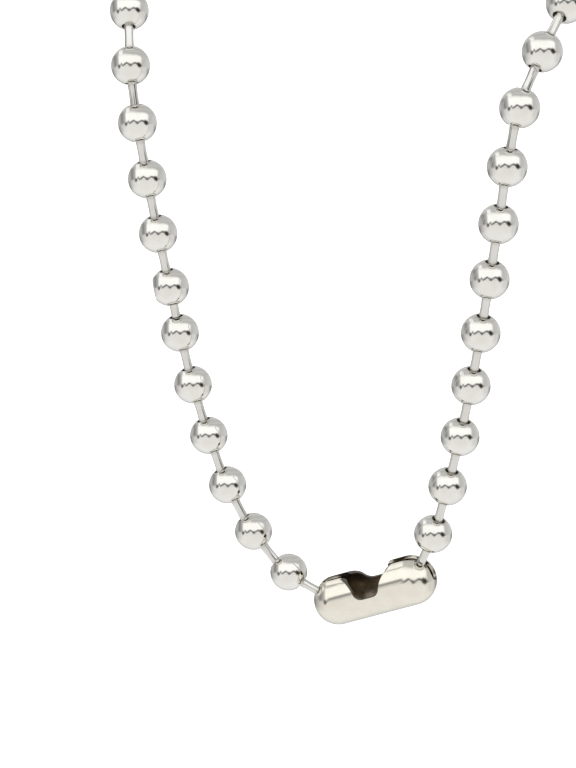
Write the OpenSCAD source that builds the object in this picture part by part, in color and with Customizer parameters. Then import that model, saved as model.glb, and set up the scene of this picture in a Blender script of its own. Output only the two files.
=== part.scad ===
// Ball chain necklace: hollow steel balls strung on dumbbell links, closed by a slotted clasp.
// It hangs as it does round a neck. Its origin is where the nape carries it.
// +Z is up, -Y is the front, +X is the viewer's right.

/* [Chain] */
// Number of balls in the chain, with the two that sit in the clasp
ball_count = 40; // [34:1:46]
// Diameter of a ball
ball_d = 10; // [8:0.1:12]
// Length of link seen between two neighbouring balls of a taut chain
link_gap = 4.7; // [3.5:0.1:6.5]

/* [Ball] */
// Thickness of a ball's sheet
ball_wall = 0.5; // [0.3:0.05:0.8]
// Clearance of a link's wire in the holes of its balls, on each side
hole_play = 0.55; // [0.4:0.05:0.7]

/* [Link] */
// Diameter of the wire of a link
wire_d = 2.4; // [1.8:0.05:2.5]
// Overhang of a link's head past the edge of its hole, on each side
head_catch = 0.25; // [0.2:0.05:0.4]
// Play of a link's head along its ball's hole
head_play = 0.55; // [0.4:0.05:0.7]

/* [Wear] */
// Depth of the flat that is knocked into one ball
dent_depth = 0.95; // [0.4:0.05:1.4]
// Amount by which the one slack link is pushed into its two balls
slack = 1.9; // [0:0.1:2]

/* [Clasp] */
// Distance between the two balls inside the clasp, face to face
clasp_gap = 13.3; // [12:0.1:18]
// Thickness of the clasp's sheet
clasp_wall = 0.8; // [0.5:0.05:1]
// Clearance round a ball in the middle of its cup
clasp_play = 0.85; // [0.5:0.05:1]
// Clearance left where the chain draws a ball up to its cup
seat_play = 0.12; // [0.1:0.01:0.2]
// Clearance on each side of a link in the clasp's slot
slot_play = 0.35; // [0.2:0.05:0.6]

/* [Clasp mouth] */
// Width of the mouth where the rims of the two cups come closest
mouth_w = 7.1; // [6:0.1:8.5]
// Height of the mouth's lowest edge over the clasp's centre line
mouth_low = 1.15; // [0.8:0.05:2]
// Radius of the mouth's two lower corners
corner_r = 2.4; // [1.5:0.1:3]
// Roll of the mouth about the clasp, towards the front
mouth_roll = 4; // [0:1:12]
// Radius of the left cup's rim, seen from the side
left_rim_r = 5; // [3.5:0.1:6]
// Radius of the right cup's rim, seen from the side
right_rim_r = 5.8; // [3.5:0.1:6]

/* [Hidden] */
$fn = 96;

// The way of the chain from the clasp's left ball over the neck to its right ball.
// The points are in millimetres from the chain's middle at the nape.
route = [
    [-7.5, -93, -175.5], [-17.5, -93, -165], [-25, -93, -152], [-34.5, -93, -124],
    [-40.5, -93, -97], [-46, -93, -69], [-51, -90, -42], [-55.5, -78, -23.5],
    [-58.5, -60, -13], [-56, -38, -6.5], [-44, -17, -2.5], [-25, -4, -0.5],
    [0, 0, 0],
    [25, -4, -0.5], [44, -17, -2.5], [56, -38, -6.5], [58.5, -60, -13],
    [55.5, -78, -23.5], [50, -90, -42], [46.5, -93, -71], [43, -93, -100],
    [38.5, -93, -129], [32, -93, -158]
];
// Middle of the two balls in the clasp on that way, and the clasp's slope from left to right
clasp_at = [16.3, -93, -176.3];
clasp_slope = 24.5;
// Ball with the flat, the flat's turn about that ball's holes, and the ball below the slack link
dent_ball = 8;
dent_turn = 18;
slack_ball = 7;
// Depth to which a corner of the mouth cuts into the rim beside it, so that the two arcs cross
corner_bite = 0.06;
// Number of straight steps between two points of the route
route_steps = 16;

ball_r = ball_d / 2;
pitch = ball_d + link_gap;
chain_run = (ball_count - 1) * pitch - slack;
seat_reach = (ball_d + clasp_gap) / 2;
inner_r = ball_r - ball_wall;
wire_r = wire_d / 2;
hole_r = wire_r + hole_play;
head_r = hole_r + head_catch;
// Distance from a ball's centre to a head that is drawn up to the hole
head_seat = sqrt(inner_r * inner_r - hole_r * hole_r) - sqrt(head_r * head_r - hole_r * hole_r) - head_play;
head_span = pitch - 2 * head_seat;
// A link turns about a point halfway between its head and the ball's sheet.
pivot_reach = (head_seat + ball_r - ball_wall / 2) / 2;
bore_r = ball_r + clasp_play;
clasp_r = bore_r + clasp_wall;
slot_w = wire_d + 2 * slot_play;
// The chain draws each ball half outwards and half upwards in its cup.
draw = (clasp_play - seat_play) * sqrt(0.5);
cup_reach = seat_reach - draw;

steel = [0.86, 0.86, 0.84];
wire_steel = [0.80, 0.79, 0.76];
clasp_steel = [0.88, 0.87, 0.85];

function unit(v) = v / norm(v);
function mix(a, b, t) = a + (b - a) * t;
function last(list) = list[len(list) - 1];

// Smooth curve through b and c, with a before them and d after them
function knot(a, b) = sqrt(norm(b - a));
function curve(a, b, c, d, share) =
    let(
        t1 = knot(a, b),
        t2 = t1 + knot(b, c),
        t3 = t2 + knot(c, d),
        t = mix(t1, t2, share),
        ab = mix(a, b, t / t1),
        bc = mix(b, c, share),
        cd = mix(c, d, (t - t2) / (t3 - t2)),
        abc = mix(ab, bc, t / t2),
        bcd = mix(bc, cd, (t - t1) / (t3 - t1))
    )
    mix(abc, bcd, share);

function smooth(points) =
    let(n = len(points), before = 2 * points[0] - points[1], after = 2 * points[n - 1] - points[n - 2])
    concat(
        [for (i = [0 : n - 2], j = [0 : route_steps - 1])
            curve(
                i == 0 ? before : points[i - 1], points[i],
                points[i + 1], i == n - 2 ? after : points[i + 2],
                j / route_steps
            )],
        [points[n - 1]]
    );

// Distance along a line of points, one value for each point
function runs(points) =
    [for (i = 0, run = 0; i < len(points);
          i = i + 1, run = run + (i < len(points) ? norm(points[i] - points[i - 1]) : 0)) run];

// The two balls in the clasp sit on both sides of clasp_at, and the way grows with the chain's length.
clasp_along = [cos(clasp_slope), 0, sin(clasp_slope)];
clasp_up = [-sin(clasp_slope), 0, cos(clasp_slope)];
function seat(side, grow) = clasp_at * grow + side * seat_reach * clasp_along;
function way(grow) = smooth(concat([seat(-1, grow)], route * grow, [seat(1, grow)]));

grow = chain_run / last(runs(way(1)));
path = way(grow);
path_runs = runs(path);
spread = last(path_runs) / chain_run;
function on_path(run) =
    [for (axis = [0 : 2]) lookup(run, [for (i = [0 : len(path) - 1]) [path_runs[i], path[i][axis]]])];

centres = [for (i = [1 : ball_count])
    [0, ball_r, 0] + on_path(spread * ((i - 1) * pitch - (i > slack_ball ? slack : 0)))];
function centre(i) = centres[i - 1];
// Each ball's holes lie in line with its two neighbours, and an end ball's tilt as far the other way.
function between(i) = unit(centre(i + 1) - centre(i - 1));
function bore_way(i) =
    i == 1 ? 2 * unit(centre(2) - centre(1)) - between(2)
    : i == ball_count ? 2 * unit(centre(i) - centre(i - 1)) - between(i - 1)
    : between(i);
clasp_mid = (centre(1) + last(centres)) / 2 - draw * clasp_up;

function ball_name(i) = str("ball_", i < 10 ? "0" : "", i);

// Turns what stands on +Z to the given way.
module along(v) {
    rotate([0, acos(unit(v).z), atan2(v.y, v.x)]) children();
}

// Ball of the given radius, with the knocked flat on the one ball that has it.
module ball_form(i, r) {
    if (i == dent_ball)
        intersection() {
            sphere(r);
            rotate([0, 90, dent_turn]) translate([0, 0, -2 * r - dent_depth]) cylinder(r = 2 * r, h = 3 * r);
        }
    else
        sphere(r);
}

module ball(i) {
    color(steel)
        translate(centre(i)) along(bore_way(i)) difference() {
            ball_form(i, ball_r);
            ball_form(i, inner_r);
            cylinder(r = hole_r, h = 2 * ball_d, center = true);
        }
}

// Half of a link's outline, from its middle to the end of one head
module link_side() {
    head_at = head_span / 2;
    square([wire_r, head_at]);
    translate([0, head_at]) intersection() {
        circle(head_r);
        translate([0, -head_r]) square([head_r, 2 * head_r]);
    }
}

module link(i) {
    from = centre(i) + pivot_reach * bore_way(i);
    to = centre(i + 1) - pivot_reach * bore_way(i + 1);
    translate((from + to) / 2) along(to - from) rotate_extrude() {
        link_side();
        mirror([0, 1]) link_side();
    }
}

module links() {
    color(wire_steel)
        for (i = [1 : ball_count - 1])
            link(i);
}

// Half outline of a rod with two round ends, along Y
module round_rod_side(r) {
    intersection() {
        union() {
            for (side = [-1, 1])
                translate([0, side * cup_reach]) circle(r);
            translate([-r, -cup_reach]) square([2 * r, 2 * cup_reach]);
        }
        translate([0, -cup_reach - r]) square([r, 2 * (cup_reach + r)]);
    }
}

// Half of the mouth, seen from the side: its corner runs almost smoothly into the rim of a cup.
module mouth_half(rim_r) {
    rim = [mouth_w / 2 + rim_r, clasp_r - rim_r];
    corner_y = mouth_low + corner_r;
    corner_x = rim.x - sqrt(pow(rim_r + corner_r - corner_bite, 2) - pow(corner_y - rim.y, 2));
    touch_y = rim.y + (corner_y - rim.y) * rim_r / (rim_r + corner_r);
    translate([corner_x, corner_y]) circle(corner_r);
    translate([0, mouth_low]) square([corner_x, 2 * clasp_r]);
    difference() {
        translate([0, touch_y]) square([rim.x, 2 * clasp_r]);
        translate(rim) circle(rim_r);
    }
}

module mouth_side() {
    mouth_half(right_rim_r);
    mirror([1, 0]) mouth_half(left_rim_r);
}

// The slot seen from the clasp's end: round at its foot, where a link leaves straight on
module slot_end() {
    circle(d = slot_w);
    translate([-slot_w / 2, 0]) square([slot_w, 2 * clasp_r]);
}

// The clasp lies along X here, with its slot up.
module clasp_form() {
    difference() {
        rotate([0, 90, 0]) rotate_extrude() difference() {
            round_rod_side(clasp_r);
            round_rod_side(bore_r);
        }
        rotate([90, 0, 90]) linear_extrude(4 * seat_reach, center = true) slot_end();
        rotate([90 + mouth_roll, 0, 0]) linear_extrude(4 * clasp_r, center = true) mouth_side();
    }
}

module clasp() {
    color(clasp_steel)
        translate(clasp_mid) rotate([0, -clasp_slope, 0]) clasp_form();
}

for (i = [1 : ball_count])
    ball(i);
links();
clasp();
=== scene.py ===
import math

import bmesh
import bpy
from mathutils import Matrix, Vector


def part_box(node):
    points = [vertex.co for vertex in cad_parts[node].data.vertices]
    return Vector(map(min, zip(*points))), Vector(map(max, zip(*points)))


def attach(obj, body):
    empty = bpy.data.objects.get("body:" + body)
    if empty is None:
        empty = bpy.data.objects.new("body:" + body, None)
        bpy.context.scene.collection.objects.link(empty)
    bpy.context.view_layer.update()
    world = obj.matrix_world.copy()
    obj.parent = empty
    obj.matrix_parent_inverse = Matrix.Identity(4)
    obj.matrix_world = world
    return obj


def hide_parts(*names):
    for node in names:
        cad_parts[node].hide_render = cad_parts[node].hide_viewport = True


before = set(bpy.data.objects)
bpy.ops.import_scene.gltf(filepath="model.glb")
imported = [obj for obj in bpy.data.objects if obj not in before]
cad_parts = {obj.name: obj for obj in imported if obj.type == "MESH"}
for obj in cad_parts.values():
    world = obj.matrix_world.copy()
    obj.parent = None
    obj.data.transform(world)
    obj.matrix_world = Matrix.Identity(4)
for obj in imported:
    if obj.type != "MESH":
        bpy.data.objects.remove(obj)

bl_info = {
    "name": "Ball chain necklace",
    "version": (1, 0, 0),
    "blender": (4, 5, 0),
    "location": "View3D > Sidebar > Necklace",
    "description": "Dresses the ball chain necklace: plated balls, wire links and the slotted clasp",
    "category": "Add Mesh",
}

MM = 0.001
BALL_NODES = sorted(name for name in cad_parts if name.startswith("ball_"))
DENTED = "ball_08"
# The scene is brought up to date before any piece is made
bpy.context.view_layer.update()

# Distances under which two points are one: in an outline, after a full turn and after the clasp is cut
OUTLINE_MERGE, TURN_MERGE, CUT_MERGE = 0.001 * MM, 0.002 * MM, 0.003 * MM
# Distances within which a point counts as lying on a plane, on an edge, on a wall and on the inside
ON_PLANE, ON_EDGE, ON_WALL, ON_INSIDE = 0.001 * MM, 0.01 * MM, 0.05 * MM, 0.1 * MM

# Steps of each outline and of its full turn
BALL_STEPS, BALL_INSIDE_STEPS, BALL_TURN = 28, 14, 56
HEAD_STEPS, WIRE_STEPS, LINK_TURN = 8, 10, 28
DOME_STEPS, BARREL_STEPS, CLASP_TURN = 24, 30, 112
SLOT_STEPS, CORNER_STEPS, CUP_RIM_STEPS = 24, 12, 16
EDGE_STEPS = 3
# How steeply a wire's waist ends. It takes the middle 0.73 of the wire, the root of one over this.
WAIST_FALL = 1.9

# Levels of the mesh attribute recess, which tells the materials where the plate is dirty, sheared or gone,
# and where shade is painted into its colour
HOLE_EDGE = 0.5
SLOT_EDGE = 0.45
MOUTH_EDGE = 0.7
# The inside: bare steel, whose darker colour also paints the shade of the hollows
BARE_AND_SHADED = 1.0
# Width of the dirt and painted shade round a ball's hole
HOLE_DIRT_AND_SHADE = 0.55 * MM
# Distance from a link's middle to the first dirt and painted shade on its wire, and the width over which
# that grows
WIRE_UNMARKED, WIRE_DIRT_AND_SHADE = 2.1 * MM, 0.7 * MM


# Sizes and colours

def linear(code):
    """Turns an sRGB hex value into the linear colour that Blender works with."""
    parts = [int(code[at:at + 2], 16) / 255 for at in (1, 3, 5)]
    return [c / 12.92 if c <= 0.04045 else ((c + 0.055) / 1.055) ** 2.4 for c in parts]


def size(name, description, default):
    """A length that a user would change."""
    return bpy.props.FloatProperty(
        name=name, description=description, default=default, min=0, unit="LENGTH", precision=5)


def angle(name, description, degrees):
    """An angle that a user would change."""
    return bpy.props.FloatProperty(
        name=name, description=description, default=math.radians(degrees), subtype="ANGLE",
        unit="ROTATION")


def colour(name, description, code):
    """A colour that a user would change."""
    return bpy.props.FloatVectorProperty(
        name=name, description=description, default=linear(code), subtype="COLOR", min=0, max=1)


class NecklaceBalls(bpy.types.PropertyGroup):
    diameter: size("Ball diameter", "Diameter of a ball", 10 * MM)
    sheet: size("Sheet", "Thickness of a ball's sheet", 0.5 * MM)
    hole: size("Hole", "Diameter of a ball's two holes", 3.5 * MM)
    rim: size("Rim", "Rounding of the sheet's edge round a hole", 0.22 * MM)
    dent: size("Dent", "Depth of the flat knocked into one ball", 0.95 * MM)
    dent_turn: angle("Dent turn", "Turn of the flat about that ball's holes", 18)
    plating: colour("Plating", "Colour of the bright plating", "#EDECE8")


class NecklaceLinks(bpy.types.PropertyGroup):
    wire: size("Wire", "Diameter of a link's wire where it leaves a ball", 2.4 * MM)
    waist: size("Waist", "Amount by which the wire is drawn thinner in its middle", 0.16 * MM)
    head: size("Head", "Diameter of a link's heads inside the balls", 4 * MM)
    play: size("Play", "Play of a link's head along its ball's hole", 0.55 * MM)
    gap: size("Gap", "Length of link seen between two neighbouring balls of a taut chain", 4.7 * MM)
    plating: colour("Wire plating", "Colour of the plated wire", "#E3E2DF")


class NecklaceClasp(bpy.types.PropertyGroup):
    bore: size("Bore", "Inside diameter of the clasp", 11.7 * MM)
    sheet: size("Clasp sheet", "Thickness of the clasp's sheet", 0.8 * MM)
    reach: size("Reach", "Distance from the clasp's middle to the centre of each round end", 11.134 * MM)
    drop: size("Drop", "Distance of the clasp's centre line below the middle of its two balls", 0.516 * MM)
    slot: size("Slot", "Width of the slot that lets the links in", 3.1 * MM)
    mouth: size("Mouth", "Width of the mouth between the two rims", 7.1 * MM)
    mouth_low: size("Mouth height", "Height of the mouth's lowest edge over the centre line", 1.15 * MM)
    corner: size("Corner", "Radius of the mouth's lower corners", 2.4 * MM)
    left_rim: size("Left rim", "Radius of the left cup's rim, seen from the side", 5 * MM)
    right_rim: size("Right rim", "Radius of the right cup's rim, seen from the side", 5.8 * MM)
    edge: size("Edge", "Rounding of the tumbled sheet edges", 0.14 * MM)
    slope: angle("Slope", "Slope of the clasp from left to right", 24.5)
    roll: angle("Roll", "Roll of the mouth towards the front", 4)
    plating: colour("Clasp plating", "Colour of the clasp's plating", "#EEEADF")


class NecklaceStage(bpy.types.PropertyGroup):
    azimuth: angle("Azimuth", "Turn of the camera about the necklace, towards +X", 18.4)
    elevation: angle("Elevation", "Height of the camera over the horizon", 22.4)
    distance: size("Distance", "Distance from the camera to the point that it looks at", 603 * MM)
    aim: bpy.props.FloatVectorProperty(
        name="Aim", description="Point that the camera looks at",
        default=(-8 * MM, -88 * MM, -120.6 * MM), subtype="TRANSLATION", unit="LENGTH")
    focus: bpy.props.FloatProperty(
        name="Focal length", description="Focal length of the camera, in heights of the picture",
        default=2311 / 768, min=1)
    drop: size("Floor drop", "Depth of the floor below the nape", 430 * MM)
    paper: colour("Paper", "Colour of the pale floor", "#FFFFFF")
    lamp: bpy.props.FloatProperty(
        name="Softbox", description="Brightness of the softbox over the camera", default=1.2, min=0)


# Nodes and materials

def add_node(tree, kind, settings=(), inputs=(), stops=(), smooth="LINEAR"):
    """Adds a node with its settings. Each input is a value or another node's output. A colour ramp also
    takes its stops, each a place with a grey or a colour, and how it runs from one to the next."""
    node = tree.nodes.new(kind)
    for name, value in dict(settings).items():
        setattr(node, name, value)
    for socket, value in dict(inputs).items():
        if isinstance(value, bpy.types.NodeSocket):
            tree.links.new(value, node.inputs[socket])
        else:
            node.inputs[socket].default_value = value
    if stops:
        node.color_ramp.interpolation = smooth
        points = node.color_ramp.elements
        while len(points) < len(stops):
            points.new(1.0)
        for point, (place, tone) in zip(points, stops):
            point.position = place
            point.color = [*tone, 1] if hasattr(tone, "__len__") else [tone, tone, tone, 1]
    return node


def plated_steel(name, plating, dull, streak):
    """Bright nickel plate over steel, tumbled smooth. It mirrors the studio with a slight ripple and fine
    marks from handling. It is duller and browner where dirt settles at the holes, with shade painted in
    there too, and bare inside, in a dark brown that also paints the shade within."""
    material = bpy.data.materials.new(name)
    material.use_nodes = True
    tree = material.node_tree
    tree.nodes.clear()
    place = add_node(tree, "ShaderNodeTexCoord").outputs["Object"]
    # Clouding of the plate, a few millimetres across
    cloud = add_node(tree, "ShaderNodeTexNoise", inputs={
        "Vector": place, "Scale": 1 / (3.2 * MM), "Detail": 3.0, "Roughness": 0.55}).outputs["Fac"]
    # Tumbling marks, drawn at 0.35 mm so that they show
    grain = add_node(tree, "ShaderNodeTexNoise", inputs={
        "Vector": place, "Scale": 1 / (0.35 * MM), "Detail": 4.0, "Roughness": 0.6}).outputs["Fac"]
    # Handling marks just under a millimetre, swirled by the streak
    marks = add_node(tree, "ShaderNodeTexNoise", inputs={
        "Vector": place, "Scale": 1 / (0.9 * MM), "Detail": 2.0, "Distortion": streak}).outputs["Fac"]
    # Dirt with painted shade lies where the mesh says that an edge or a recess is near, first in specks
    # and then in full.
    recess = add_node(tree, "ShaderNodeAttribute", {
        "attribute_type": "GEOMETRY", "attribute_name": "recess"}).outputs["Fac"]
    speckled = add_node(tree, "ShaderNodeValToRGB", inputs={"Fac": grain}, stops=[
        (0.3, 0.35), (0.7, 1.0)]).outputs["Color"]
    specks = add_node(
        tree, "ShaderNodeMath", {"operation": "MULTIPLY"}, {0: recess, 1: speckled}).outputs[0]
    full = add_node(tree, "ShaderNodeValToRGB", inputs={"Fac": recess}, stops=[
        (0.35, 0.0), (0.75, 1.0)]).outputs["Color"]
    dirt_and_shade = add_node(tree, "ShaderNodeMath", {"operation": "MAXIMUM"}, {0: specks, 1: full}).outputs[0]
    # The plate itself, slightly darker and yellower in its clouds
    clouded = add_node(tree, "ShaderNodeValToRGB", inputs={"Fac": cloud}, stops=[
        (0.35, 0.0), (0.65, 1.0)]).outputs["Color"]
    red, green, blue = plating
    bright = add_node(tree, "ShaderNodeMix", {"data_type": "RGBA"}, {
        "Factor": clouded, "A": (red, green, blue, 1),
        "B": (red * 0.95, green * 0.945, blue * 0.925, 1)}).outputs["Result"]
    # Grey dirt and painted shade on edges, darker still on the sheared edges, and brown bare steel inside,
    # darkened as painted shade
    soiled_and_shaded = add_node(tree, "ShaderNodeValToRGB", inputs={"Fac": recess}, stops=[
        (HOLE_EDGE, linear("#8A837B")), (MOUTH_EDGE - 0.05, linear("#4E4842")),
        (MOUTH_EDGE + 0.05, linear("#4E4842")), (BARE_AND_SHADED - 0.05, linear("#B8AB99"))]).outputs["Color"]
    tone = add_node(tree, "ShaderNodeMix", {"data_type": "RGBA"}, {
        "Factor": dirt_and_shade, "A": bright, "B": soiled_and_shaded}).outputs["Result"]
    # Roughness that the tumbling marks and full dirt each add to the plate's own
    marks_add, dirt_adds = 0.06, 0.2
    rough = add_node(tree, "ShaderNodeMapRange", inputs={
        "Value": grain, "To Min": dull, "To Max": dull + marks_add}).outputs["Result"]
    worn = add_node(tree, "ShaderNodeMath", {"operation": "MULTIPLY_ADD"}, {
        0: dirt_and_shade, 1: dirt_adds, 2: rough}).outputs[0]
    # The sheet ripples with the clouds, and the handling marks lie on that.
    ripple = add_node(tree, "ShaderNodeBump", inputs={
        "Strength": 0.5, "Distance": 0.026 * MM, "Height": cloud}).outputs["Normal"]
    brush = add_node(tree, "ShaderNodeBump", inputs={
        "Strength": 0.35, "Distance": 0.002 * MM, "Height": marks, "Normal": ripple}).outputs["Normal"]
    shader = add_node(tree, "ShaderNodeBsdfPrincipled", inputs={
        "Metallic": 1.0, "Base Color": tone, "Roughness": worn, "Normal": brush}).outputs["BSDF"]
    add_node(tree, "ShaderNodeOutputMaterial", inputs={"Surface": shader})
    return material


def matt_paper(tint):
    """Uncoated white paper, matt. It glows a little, as paper lit from below does, and stays white."""
    material = bpy.data.materials.new("matt_paper")
    material.use_nodes = True
    shader = material.node_tree.nodes["Principled BSDF"]
    shader.inputs["Base Color"].default_value = [*tint, 1]
    shader.inputs["Roughness"].default_value = 0.9
    shader.inputs["Specular IOR Level"].default_value = 0.2
    shader.inputs["Emission Color"].default_value = [*tint, 1]
    shader.inputs["Emission Strength"].default_value = 0.55
    return material


# Mesh helpers

def standing(way):
    """Turn that brings +Z to the given way, first about Y and then about Z, as the part's source does."""
    return Matrix.Rotation(math.atan2(way.y, way.x), 4, "Z") @ Matrix.Rotation(math.acos(way.z), 4, "Y")


def arc(bm, vert, centre, axis, sweep, steps):
    """Spins one vertex into an arc of edges and returns the arc's last vertex."""
    made = bmesh.ops.spin(
        bm, geom=[vert], cent=centre, axis=axis, dvec=(0, 0, 0), angle=sweep, steps=steps,
        use_duplicate=False)
    return next(item for item in made["geom_last"] if isinstance(item, bmesh.types.BMVert))


def line(bm, vert, way):
    """Draws a straight edge out of a vertex and returns its other end."""
    made = bmesh.ops.extrude_vert_indiv(bm, verts=[vert])
    bmesh.ops.translate(bm, verts=made["verts"], vec=way)
    return made["verts"][0]


def turn_round(bm, steps):
    """Spins a half outline in the XZ plane once round Z and closes it."""
    bmesh.ops.spin(
        bm, geom=bm.verts[:] + bm.edges[:], cent=(0, 0, 0), axis=(0, 0, 1), dvec=(0, 0, 0),
        angle=math.tau, steps=steps, use_merge=True, use_duplicate=False)
    bmesh.ops.remove_doubles(bm, verts=bm.verts, dist=TURN_MERGE)
    bmesh.ops.recalc_face_normals(bm, faces=bm.faces)


def stretch(bm, way):
    """Closes the drawn outline and stretches it to both sides along the given way."""
    bmesh.ops.translate(bm, verts=bm.verts, vec=-way)
    face = bmesh.ops.contextual_create(bm, geom=bm.edges[:])["faces"]
    made = bmesh.ops.extrude_face_region(bm, geom=face)["geom"]
    bmesh.ops.translate(bm, verts=[v for v in made if isinstance(v, bmesh.types.BMVert)], vec=2 * way)
    bmesh.ops.recalc_face_normals(bm, faces=bm.faces)


def into_object(name, bm):
    """Turns a shape into an object of the scene."""
    mesh = bpy.data.meshes.new(name)
    bm.to_mesh(mesh)
    bm.free()
    made = bpy.data.objects.new(name, mesh)
    bpy.context.scene.collection.objects.link(made)
    return made


def piece(name, bm, material, slot, *nodes):
    """Makes the finished object, with its place in its mesh, and parents it to the root body."""
    made = into_object(name, bm)
    made.data.shade_smooth()
    made.data.materials.append(material)
    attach(made, "root")
    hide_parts(*nodes)
    return made


def ball_centres(radius):
    """Centres of all the balls. The dented one keeps its right side, which gives its place along X."""
    found = []
    for node in BALL_NODES:
        low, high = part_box(node)
        middle = (low + high) / 2
        if node == DENTED:
            middle.x = high.x - radius
        found.append(middle)
    return found


def hole_ways(centres):
    """Way of each ball's two holes: in line with its neighbours. At the ends it tilts as far the other
    way as it does at the next ball."""
    last = len(centres) - 1
    ways = [(centres[min(i + 1, last)] - centres[max(i - 1, 0)]).normalized() for i in range(last + 1)]
    ways[0] = (2 * ways[0] - ways[1]).normalized()
    ways[last] = (2 * ways[last] - ways[last - 1]).normalized()
    return ways


# Pieces

class NECKLACE_OT_balls(bpy.types.Operator):
    """Make the hollow balls with their rolled rims, and the one with a knocked flat"""
    bl_idname = "necklace.balls"
    bl_label = "Balls"

    def execute(self, context):
        sizes = context.scene.necklace_balls
        outer, hole = sizes.diameter / 2, sizes.hole / 2
        inner = outer - sizes.sheet
        plate = plated_steel("nickel_plated_sheet", sizes.plating, dull=0.045, streak=0.6)
        centres = ball_centres(outer)
        for node, centre, way in zip(BALL_NODES, centres, hole_ways(centres)):
            bm = self.shell(outer, inner, hole)
            if node == DENTED:
                self.knock(bm, outer, inner, sizes)
            self.round_rims(bm, hole, sizes.rim)
            self.mark_dirt_and_shade(bm, inner, hole)
            bmesh.ops.transform(bm, verts=bm.verts, matrix=Matrix.Translation(centre) @ standing(way))
            piece(node.replace("ball", "steel_ball"), bm, plate, "ball_steel", node)
        return {"FINISHED"}

    def shell(self, outer, inner, hole):
        """Sheet between two round walls, with a hole at each pole."""
        bm = bmesh.new()
        outer_open, inner_open = math.asin(hole / outer), math.asin(hole / inner)
        outer_high, inner_high = outer * math.cos(outer_open), inner * math.cos(inner_open)
        start = bm.verts.new((hole, 0, outer_high))
        low = arc(bm, start, (0, 0, 0), (0, 1, 0), math.pi - 2 * outer_open, BALL_STEPS)
        inside = line(bm, low, (0, 0, outer_high - inner_high))
        high = arc(bm, inside, (0, 0, 0), (0, -1, 0), math.pi - 2 * inner_open, BALL_INSIDE_STEPS)
        bm.edges.new((high, start))
        turn_round(bm, BALL_TURN)
        return bm

    def knock(self, bm, outer, inner, sizes):
        """Presses a flat into both walls of the sheet."""
        way = Vector((math.cos(sizes.dent_turn), math.sin(sizes.dent_turn), 0))
        between = (outer + inner) / 2
        for wall in (outer, inner):
            flat = wall - sizes.dent
            own = {v for v in bm.verts if abs(v.co.length - wall) < ON_WALL}
            geom = [item for item in bm.faces[:] + bm.edges[:] if own.issuperset(item.verts)]
            geom += [v for v in bm.verts if v in own]
            bmesh.ops.bisect_plane(bm, geom=geom, dist=ON_PLANE, plane_co=way * flat, plane_no=way)
            beyond = [v for v in bm.verts if v.co.dot(way) > flat + ON_PLANE
                      and (wall == inner) == (v.co.length < between)]
            to_plane = Matrix.Translation(way * flat)
            press = to_plane @ Matrix.Scale(0, 4, way) @ to_plane.inverted()
            bmesh.ops.transform(bm, verts=beyond, matrix=press)

    def round_rims(self, bm, hole, width):
        """Rounds the sheet's edges round both holes."""
        at_hole = {v for v in bm.verts if abs(math.hypot(v.co.x, v.co.y) - hole) < ON_EDGE}
        rims = [edge for edge in bm.edges if at_hole.issuperset(edge.verts)
                and abs(edge.verts[0].co.z - edge.verts[1].co.z) < ON_EDGE]
        bmesh.ops.bevel(
            bm, geom=rims, offset=width, offset_type="OFFSET", segments=EDGE_STEPS, profile=0.5,
            affect="EDGES", material=-1, clamp_overlap=True)

    def mark_dirt_and_shade(self, bm, inner, hole):
        """Marks the inside as bare and painted in shade, and dirt with painted shade that fades out from
        each hole.
        """
        recess = bm.verts.layers.float.new("recess")
        for v in bm.verts:
            off = math.hypot(v.co.x, v.co.y) - hole
            inside = v.co.length < inner + ON_INSIDE
            v[recess] = BARE_AND_SHADED if inside else max(0.0, HOLE_EDGE * (1 - off / HOLE_DIRT_AND_SHADE))


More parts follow.
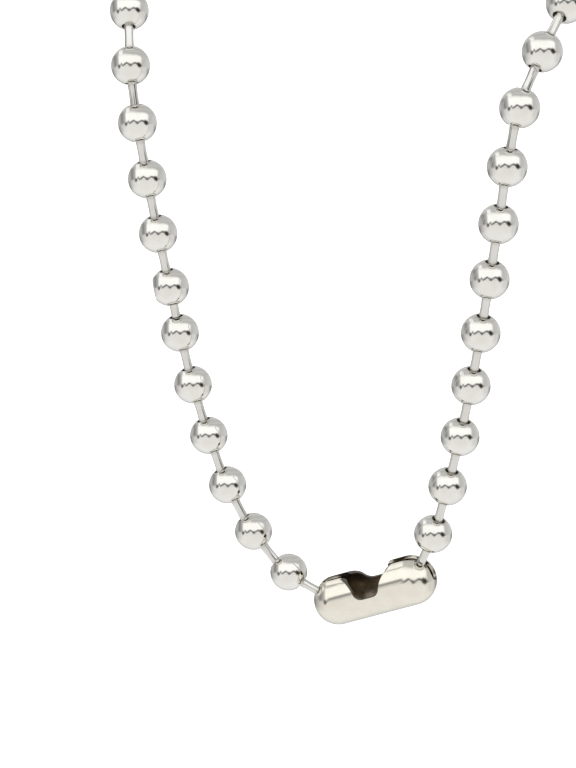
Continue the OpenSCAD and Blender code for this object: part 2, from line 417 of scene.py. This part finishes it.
class NECKLACE_OT_links(bpy.types.Operator):
    """Make the wire links with their two round heads"""
    bl_idname = "necklace.links"
    bl_label = "Wire links"

    def execute(self, context):
        sizes = context.scene.necklace_links
        balls = context.scene.necklace_balls
        head, hole = sizes.head / 2, balls.hole / 2
        inner = balls.diameter / 2 - balls.sheet
        # How far from its ball's centre a head sits, and a link turns
        seat = math.sqrt(inner ** 2 - hole ** 2) - math.sqrt(head ** 2 - hole ** 2) - sizes.play
        pivot = (seat + (balls.diameter - balls.sheet) / 2) / 2
        one = self.link(sizes, (balls.diameter + sizes.gap) / 2 - seat)
        centres = ball_centres(balls.diameter / 2)
        ways = hole_ways(centres)
        bm = bmesh.new()
        for i in range(len(centres) - 1):
            start = centres[i] + pivot * ways[i]
            end = centres[i + 1] - pivot * ways[i + 1]
            place = Matrix.Translation((start + end) / 2) @ standing((end - start).normalized())
            made = len(bm.verts)
            bm.from_mesh(one)
            bmesh.ops.transform(bm, verts=bm.verts[made:], matrix=place)
        bpy.data.meshes.remove(one)
        plate = plated_steel("nickel_plated_wire", sizes.plating, dull=0.07, streak=1.2)
        piece("wire_links", bm, plate, "link_steel", "links")
        return {"FINISHED"}

    def link(self, sizes, half):
        """One link along Z: a wire with a slight waist between two round heads."""
        wire, head = sizes.wire / 2, sizes.head / 2
        neck = math.asin(wire / head)
        fall = 2 * (half - head * math.cos(neck)) / WIRE_STEPS
        bm = bmesh.new()
        pole = bm.verts.new((0, 0, half + head))
        at = arc(bm, pole, (0, 0, half), (0, 1, 0), math.pi - neck, HEAD_STEPS)
        for step in range(WIRE_STEPS):
            off_middle = 2 * (step + 1) / WIRE_STEPS - 1
            drawn = 1 - min(1, WAIST_FALL * off_middle ** 2)
            at = line(bm, at, (wire - sizes.waist / 2 * drawn - at.co.x, 0, -fall))
        arc(bm, at, (0, 0, -half), (0, 1, 0), math.pi - neck, HEAD_STEPS)
        turn_round(bm, LINK_TURN)
        # The wire darkens towards each end, where it goes into a ball: dirt with painted shade.
        recess = bm.verts.layers.float.new("recess")
        for v in bm.verts:
            soiled_and_shaded = (abs(v.co.z) - WIRE_UNMARKED) / WIRE_DIRT_AND_SHADE
            v[recess] = HOLE_EDGE * min(1, max(0, soiled_and_shaded))
        mesh = bpy.data.meshes.new("one_link")
        bm.to_mesh(mesh)
        bm.free()
        return mesh


class NECKLACE_OT_clasp(bpy.types.Operator):
    """Make the clasp: a rolled barrel with two cups, a mouth between them and a slot for the links"""
    bl_idname = "necklace.clasp"
    bl_label = "Clasp"

    def execute(self, context):
        sizes = context.scene.necklace_clasp
        bore = sizes.bore / 2
        outer = bore + sizes.sheet
        barrel = self.barrel(sizes, outer)
        for cutter in (self.barrel(sizes, bore), self.slot(sizes, outer), self.mouth(sizes, outer)):
            cut = barrel.modifiers.new("cut", "BOOLEAN")
            cut.operation = "DIFFERENCE"
            cut.solver = "EXACT"
            cut.object = cutter
        context.view_layer.update()
        cut_mesh = bpy.data.meshes.new_from_object(
            barrel.evaluated_get(context.evaluated_depsgraph_get()))
        for used in [cut.object for cut in barrel.modifiers] + [barrel]:
            bpy.data.objects.remove(used)
        bm = bmesh.new()
        bm.from_mesh(cut_mesh)
        bmesh.ops.remove_doubles(bm, verts=bm.verts, dist=CUT_MERGE)
        bmesh.ops.dissolve_degenerate(bm, edges=bm.edges, dist=CUT_MERGE)
        self.mark_bare_and_shaded(bm, sizes.reach, bore + sizes.sheet / 4, outer - sizes.sheet / 4)
        first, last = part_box(BALL_NODES[0]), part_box(BALL_NODES[-1])
        middle = (first[0] + first[1] + last[0] + last[1]) / 4
        middle -= sizes.drop * Vector((-math.sin(sizes.slope), 0, math.cos(sizes.slope)))
        bmesh.ops.transform(
            bm, verts=bm.verts, matrix=Matrix.Translation(middle) @ Matrix.Rotation(-sizes.slope, 4, "Y"))
        plate = plated_steel("nickel_plated_barrel", sizes.plating, dull=0.085, streak=0.8)
        made = piece("barrel_clasp", bm, plate, "clasp_steel", "clasp")
        edge = made.modifiers.new("tumbled_edges", "BEVEL")
        edge.width = sizes.edge
        edge.segments = EDGE_STEPS
        edge.limit_method = "ANGLE"
        edge.angle_limit = math.radians(40)
        edge.harden_normals = True
        return {"FINISHED"}

    def mark_bare_and_shaded(self, bm, reach, inside, outside):
        """Marks the inside as bare and painted in shade, the sheared edges of the mouth as dark and those
        of the slot, which face sideways, as nearly clean."""
        recess = bm.faces.layers.float.new("recess")
        for face in bm.faces:
            depths = [
                Vector((max(0, abs(v.co.x) - reach), v.co.y, v.co.z)).length for v in face.verts]
            if max(depths) < inside:
                face[recess] = BARE_AND_SHADED
            elif min(depths) < outside:
                sideways = abs(face.normal.y) > 0.5
                face[recess] = SLOT_EDGE if sideways else MOUTH_EDGE

    def barrel(self, sizes, radius):
        """Closed rod with round ends along X."""
        bm = bmesh.new()
        pole = bm.verts.new((0, 0, sizes.reach + radius))
        at = arc(bm, pole, (0, 0, sizes.reach), (0, 1, 0), math.pi / 2, DOME_STEPS)
        for _ in range(BARREL_STEPS):
            at = line(bm, at, (0, 0, -2 * sizes.reach / BARREL_STEPS))
        arc(bm, at, (0, 0, -sizes.reach), (0, 1, 0), math.pi / 2, DOME_STEPS)
        turn_round(bm, CLASP_TURN)
        bmesh.ops.rotate(bm, verts=bm.verts, matrix=Matrix.Rotation(math.pi / 2, 3, "Y"))
        return into_object("barrel", bm)

    def slot(self, sizes, outer):
        """Cutter for the slot: round at its foot, straight to the top."""
        bm = bmesh.new()
        start = bm.verts.new((0, sizes.slot / 2, 0))
        at = arc(bm, start, (0, 0, 0), (1, 0, 0), -math.pi, SLOT_STEPS)
        at = line(bm, at, (0, 0, 2 * outer))
        at = line(bm, at, (0, sizes.slot, 0))
        bm.edges.new((at, start))
        stretch(bm, Vector((2 * (sizes.reach + outer), 0, 0)))
        return into_object("slot", bm)

    def mouth(self, sizes, outer):
        """Cutter for the mouth: on each side a corner that runs into the round rim of a cup."""
        bm = bmesh.new()
        across = (0, -1, 0)
        ends = []
        for side, rim_r in ((1, sizes.right_rim), (-1, sizes.left_rim)):
            rim = Vector((sizes.mouth / 2 + rim_r, 0, outer - rim_r))
            corner_z = sizes.mouth_low + sizes.corner
            corner_x = rim.x - math.sqrt((rim_r + sizes.corner) ** 2 - (corner_z - rim.z) ** 2)
            sweep = side * (math.pi / 2 + math.atan2(rim.z - corner_z, rim.x - corner_x))
            at = bm.verts.new((0, 0, sizes.mouth_low))
            at = line(bm, at, (side * corner_x, 0, 0))
            at = arc(bm, at, (side * corner_x, 0, corner_z), across, sweep, CORNER_STEPS)
            at = arc(bm, at, (side * rim.x, 0, rim.z), across, -sweep, CUP_RIM_STEPS)
            ends.append(line(bm, at, (0, 0, outer)))
        bm.edges.new(ends)
        bmesh.ops.remove_doubles(bm, verts=bm.verts, dist=OUTLINE_MERGE)
        stretch(bm, Vector((0, 2 * outer, 0)))
        bmesh.ops.rotate(bm, verts=bm.verts, matrix=Matrix.Rotation(sizes.roll, 3, "X"))
        return into_object("mouth", bm)


# Studio

# The studio is laid out as a mirror ball in front of the camera shows it, where across and rise each run
# from -1 to 1. Each row of a table holds a place on that run, and a tone, a shift or a width there.
WHITE = (1.0, 1.0, 1.0, 1.0)
WALLS_ACROSS = (
    (-1, 0.4), (-0.92, 0.56), (-0.84, 0.46), (-0.75, 0.26), (-0.66, 0.44), (-0.58, 0.56), (0, 0.6),
    (0.6, 0.58), (0.72, 0.62), (0.9, 0.7), (1, 0.55))
CEILING_UPWARDS = (
    (-1, 0.6), (0.5, 0.62), (0.56, 0.52), (0.66, 0.64), (0.8, 0.54), (0.9, 0.68), (1, 0.5))
TABLE_OUTWARDS = (
    (0, (0.88, 0.87, 0.85)), (0.45, (0.92, 0.91, 0.89)), (0.7, (0.96, 0.95, 0.94)),
    (0.85, (0.94, 0.94, 0.94)), (0.93, 0.78), (0.97, 0.62), (1, 0.42))
TABLE_ACROSS = (
    (-1, 0.36), (-0.94, 0.42), (-0.85, 0.58), (-0.74, 0.76), (-0.6, 0.92), (-0.45, 1.0), (0.5, 1.0),
    (0.68, 0.8), (0.82, 0.84), (0.92, 0.5), (1, 0.4))
SOFTBOX_UPWARDS = ((-0.1, 0.8), (0.06, 0.9), (0.16, 1.0), (0.4, 1.0), (0.5, 0.85), (1, 0.76))
SOFTBOX_TOP_SHIFT = (
    (-0.6, -0.02), (-0.45, 0.04), (-0.3, 0.05), (-0.1, 0.02), (0.1, -0.02), (0.3, 0.02), (0.5, -0.06),
    (0.65, -0.14))
GAP_SHIFT = (
    (-0.7, -0.08), (-0.58, -0.08), (-0.46, -0.08), (-0.34, -0.04), (-0.24, 0.02), (-0.15, 0.1),
    (-0.04, -0.03), (0.06, -0.06), (0.16, 0.04), (0.27, 0.08), (0.34, 0.04), (0.42, 0.0), (0.5, -0.02),
    (0.7, -0.06))
GAP_WIDTH = (
    (-0.66, 0.05), (-0.56, 0.11), (-0.48, 0.06), (-0.22, 0.06), (-0.1, 0.05), (0.0, 0.08), (0.14, 0.055),
    (0.34, 0.06), (0.42, 0.13), (0.52, 0.13), (0.58, 0.05))
GAP_TONE = (
    (-0.66, 0.36), (-0.56, 0.1), (-0.47, 0.34), (-0.34, 0.3), (-0.2, 0.2), (-0.08, 0.3), (0.02, 0.16),
    (0.14, 0.34), (0.26, 0.24), (0.36, 0.16), (0.43, (0.04, 0.035, 0.025)), (0.52, (0.05, 0.045, 0.035)),
    (0.6, 0.3))
CARD_TONE = (1.12, 1.12, 1.1, 1.0)
# How far the gap rises where the clasp's straight barrel mirrors it
GAP_LIFT = 0.1
# Edges, each the place where it starts to count and the place where it counts in full
CEILING_FOOT = (0.5, 0.6)
TABLE_TOP, TABLE_FRONT = (0.02, -0.12), (-0.6, -0.3)
CARD_LEFT, CARD_RIGHT, CARD_FOOT, CARD_TOP = (-0.57, -0.52), (-0.34, -0.42), (0.3, 0.4), (0.86, 0.6)
SOFTBOX_LEFT, SOFTBOX_RIGHT = (-0.62, -0.52), (0.63, 0.48)
SOFTBOX_FOOT, SOFTBOX_TOP = (-0.08, 0.0), (0.58, 0.43)
GAP_LEFT, GAP_RIGHT = (-0.68, -0.56), (0.68, 0.58)
LIFT_LEFT, LIFT_RIGHT = (-0.5, -0.46), (-0.38, -0.42)
# The gap's own edge, in widths of the gap off its middle
GAP_EDGE = (1.5, 0.4)


def laid(tree, along, rows):
    """Tones of a table's rows, laid along a run from -1 to 1."""
    share = add_node(tree, "ShaderNodeMath", {"operation": "MULTIPLY_ADD"}, {0: along, 1: 0.5, 2: 0.5})
    return add_node(
        tree, "ShaderNodeValToRGB", inputs={"Fac": share.outputs[0]},
        stops=[(place / 2 + 0.5, tone) for place, tone in rows]).outputs["Color"]


def shifted(tree, along, rows):
    """Smooth shifts of a table's rows along a run from -1 to 1. The ramp holds them 0.5 higher, because a
    tone can't be less than 0."""
    share = add_node(tree, "ShaderNodeMath", {"operation": "MULTIPLY_ADD"}, {0: along, 1: 0.5, 2: 0.5})
    held = add_node(
        tree, "ShaderNodeValToRGB", inputs={"Fac": share.outputs[0]}, smooth="B_SPLINE",
        stops=[(place / 2 + 0.5, shift + 0.5) for place, shift in rows]).outputs["Color"]
    return add_node(tree, "ShaderNodeMath", {"operation": "SUBTRACT"}, {0: held, 1: 0.5}).outputs[0]


def mask(tree, *edges):
    """Share that lies inside all the edges, each given with the measure that it lies on."""
    inside = 1.0
    for measure, (start, full) in edges:
        share = add_node(tree, "ShaderNodeMapRange", {"interpolation_type": "SMOOTHSTEP"}, {
            "Value": measure, "From Min": start, "From Max": full}).outputs["Result"]
        inside = add_node(
            tree, "ShaderNodeMath", {"operation": "MULTIPLY"}, {0: inside, 1: share}).outputs[0]
    return inside


class NECKLACE_OT_stage(bpy.types.Operator):
    """Make the pale floor, the studio light and the camera at the picture's angle"""
    bl_idname = "necklace.stage"
    bl_label = "Stage"

    def execute(self, context):
        sizes = context.scene.necklace_stage
        sin_a, cos_a = math.sin(sizes.azimuth), math.cos(sizes.azimuth)
        sin_e, cos_e = math.sin(sizes.elevation), math.cos(sizes.elevation)
        back = Vector((sin_a * cos_e, -cos_a * cos_e, sin_e))
        right = Vector((cos_a, sin_a, 0))
        up = Vector((-sin_a * sin_e, cos_a * sin_e, cos_e))
        self.floor(sizes)
        self.studio(context.scene, sizes.lamp, back, right, up)
        self.camera(context.scene, sizes, back)
        context.scene.view_settings.view_transform = "Standard"
        return {"FINISHED"}

    def camera(self, scene, sizes, back):
        """Camera at the picture's angle."""
        camera = bpy.data.objects.new("camera", bpy.data.cameras.new("camera"))
        camera.data.sensor_width = 36
        camera.data.lens = sizes.focus * camera.data.sensor_width
        camera.data.clip_start = 0.01
        camera.location = Vector(sizes.aim) + back * sizes.distance
        camera.rotation_euler = back.to_track_quat("Z", "Y").to_euler()
        scene.collection.objects.link(camera)
        scene.camera = camera

    def floor(self, sizes):
        """Wide sheet of pale paper, far below the necklace. No reflection shows it, so that the metal
        mirrors the studio alone."""
        bm = bmesh.new()
        bmesh.ops.create_circle(bm, cap_ends=True, segments=64, radius=12)
        bmesh.ops.translate(bm, verts=bm.verts, vec=(0, 0, -sizes.drop))
        made = into_object("floor", bm)
        made.data.materials.append(matt_paper(sizes.paper))
        made.visible_glossy = False

    def studio(self, scene, lamp, back, right, up):
        """Light tent. A wide softbox fills its upper half and the pale table its lower one, with a thin
        dark gap between them and grey walls towards the rim. A white card over the softbox's left end
        lengthens the highlight on the clasp."""
        world = bpy.data.worlds.new("studio")
        scene.world = world
        world.use_nodes = True
        tree = world.node_tree
        tree.nodes.clear()
        across, rise, outwards = self.mirror_ball(tree, back, right, up)
        room = laid(tree, across, WALLS_ACROSS)
        card = mask(
            tree, (across, CARD_LEFT), (across, CARD_RIGHT), (rise, CARD_FOOT), (rise, CARD_TOP))
        # Each layer is what it covers, and its tones.
        layers = (
            (mask(tree, (rise, CEILING_FOOT)), laid(tree, rise, CEILING_UPWARDS)),
            (card, CARD_TONE),
            (mask(tree, (rise, TABLE_TOP)), self.table(tree, across, rise, outwards)),
            self.softbox(tree, across, rise, lamp),
            self.gap(tree, across, rise),
            # What the camera itself sees past the floor is white paper.
            (add_node(tree, "ShaderNodeLightPath").outputs["Is Camera Ray"], WHITE),
        )
        for cover, tones in layers:
            room = add_node(tree, "ShaderNodeMix", {"data_type": "RGBA"}, {
                "Factor": cover, "A": room, "B": tones}).outputs["Result"]
        lit = add_node(tree, "ShaderNodeBackground", inputs={"Color": room}).outputs["Background"]
        add_node(tree, "ShaderNodeOutputWorld", inputs={"Surface": lit})

    def mirror_ball(self, tree, back, right, up):
        """Where a mirror ball in front of the camera shows each direction: across it, up it, and outwards
        from its middle."""
        way = add_node(tree, "ShaderNodeTexCoord").outputs["Generated"]
        halfway = add_node(
            tree, "ShaderNodeVectorMath", {"operation": "ADD"}, {0: way, 1: back}).outputs["Vector"]
        facing = add_node(
            tree, "ShaderNodeVectorMath", {"operation": "NORMALIZE"}, {0: halfway}).outputs["Vector"]
        across, rise = (
            add_node(tree, "ShaderNodeVectorMath", {"operation": "DOT_PRODUCT"}, {
                0: facing, 1: axis}).outputs["Value"] for axis in (right, up))
        place = add_node(tree, "ShaderNodeCombineXYZ", inputs={"X": across, "Y": rise}).outputs["Vector"]
        outwards = add_node(
            tree, "ShaderNodeVectorMath", {"operation": "LENGTH"}, {0: place}).outputs["Value"]
        return across, rise, outwards

    def table(self, tree, across, rise, outwards):
        """Pale table, darker at its far corners."""
        sides = add_node(tree, "ShaderNodeMix", {"data_type": "RGBA"}, {
            "Factor": mask(tree, (rise, TABLE_FRONT)), "A": WHITE,
            "B": laid(tree, across, TABLE_ACROSS)}).outputs["Result"]
        return add_node(tree, "ShaderNodeVectorMath", {"operation": "MULTIPLY"}, {
            0: laid(tree, outwards, TABLE_OUTWARDS), 1: sides}).outputs["Vector"]

    def softbox(self, tree, across, rise, lamp):
        """Cover and tones of the softbox, whose upper edge sags and rises a little."""
        straightened = add_node(tree, "ShaderNodeMath", {"operation": "SUBTRACT"}, {
            0: rise, 1: shifted(tree, across, SOFTBOX_TOP_SHIFT)}).outputs[0]
        cover = mask(
            tree, (across, SOFTBOX_LEFT), (across, SOFTBOX_RIGHT), (rise, SOFTBOX_FOOT),
            (straightened, SOFTBOX_TOP))
        tones = add_node(tree, "ShaderNodeVectorMath", {"operation": "MULTIPLY"}, {
            0: laid(tree, rise, SOFTBOX_UPWARDS), 1: (lamp, lamp, lamp * 0.99)}).outputs["Vector"]
        return cover, tones

    def gap(self, tree, across, rise):
        """Cover and tones of the dark gap, a ragged line that rises where the clasp mirrors it."""
        lifted = mask(tree, (across, LIFT_LEFT), (across, LIFT_RIGHT))
        height = add_node(tree, "ShaderNodeMath", {"operation": "MULTIPLY_ADD"}, {
            0: lifted, 1: GAP_LIFT, 2: shifted(tree, across, GAP_SHIFT)}).outputs[0]
        above = add_node(
            tree, "ShaderNodeMath", {"operation": "SUBTRACT"}, {0: rise, 1: height}).outputs[0]
        off = add_node(tree, "ShaderNodeMath", {"operation": "ABSOLUTE"}, {0: above}).outputs[0]
        widths = add_node(tree, "ShaderNodeMath", {"operation": "DIVIDE"}, {
            0: off, 1: laid(tree, across, GAP_WIDTH)}).outputs[0]
        cover = mask(tree, (widths, GAP_EDGE), (across, GAP_LEFT), (across, GAP_RIGHT))
        return cover, laid(tree, across, GAP_TONE)


class NECKLACE_PT_panel(bpy.types.Panel):
    """Sizes, colours and the buttons that make each piece"""
    bl_idname = "NECKLACE_PT_panel"
    bl_label = "Ball chain necklace"
    bl_space_type = "VIEW_3D"
    bl_region_type = "UI"
    bl_category = "Necklace"

    def draw(self, context):
        for group, kind, operator in GROUPS:
            box = self.layout.box()
            sizes = getattr(context.scene, group)
            for name in kind.__annotations__:
                box.prop(sizes, name)
            box.operator(operator.bl_idname)


# Each group of sizes, under its name in the scene, with the operator that uses it
GROUPS = (
    ("necklace_stage", NecklaceStage, NECKLACE_OT_stage),
    ("necklace_balls", NecklaceBalls, NECKLACE_OT_balls),
    ("necklace_links", NecklaceLinks, NECKLACE_OT_links),
    ("necklace_clasp", NecklaceClasp, NECKLACE_OT_clasp),
)


def register():
    for group, kind, operator in GROUPS:
        bpy.utils.register_class(kind)
        bpy.utils.register_class(operator)
        setattr(bpy.types.Scene, group, bpy.props.PointerProperty(type=kind))
    bpy.utils.register_class(NECKLACE_PT_panel)


def unregister():
    bpy.utils.unregister_class(NECKLACE_PT_panel)
    for group, kind, operator in reversed(GROUPS):
        delattr(bpy.types.Scene, group)
        bpy.utils.unregister_class(operator)
        bpy.utils.unregister_class(kind)


def main():
    register()
    bpy.ops.necklace.stage()
    bpy.ops.necklace.balls()
    bpy.ops.necklace.links()
    bpy.ops.necklace.clasp()


if __name__ == "__main__":
    main()
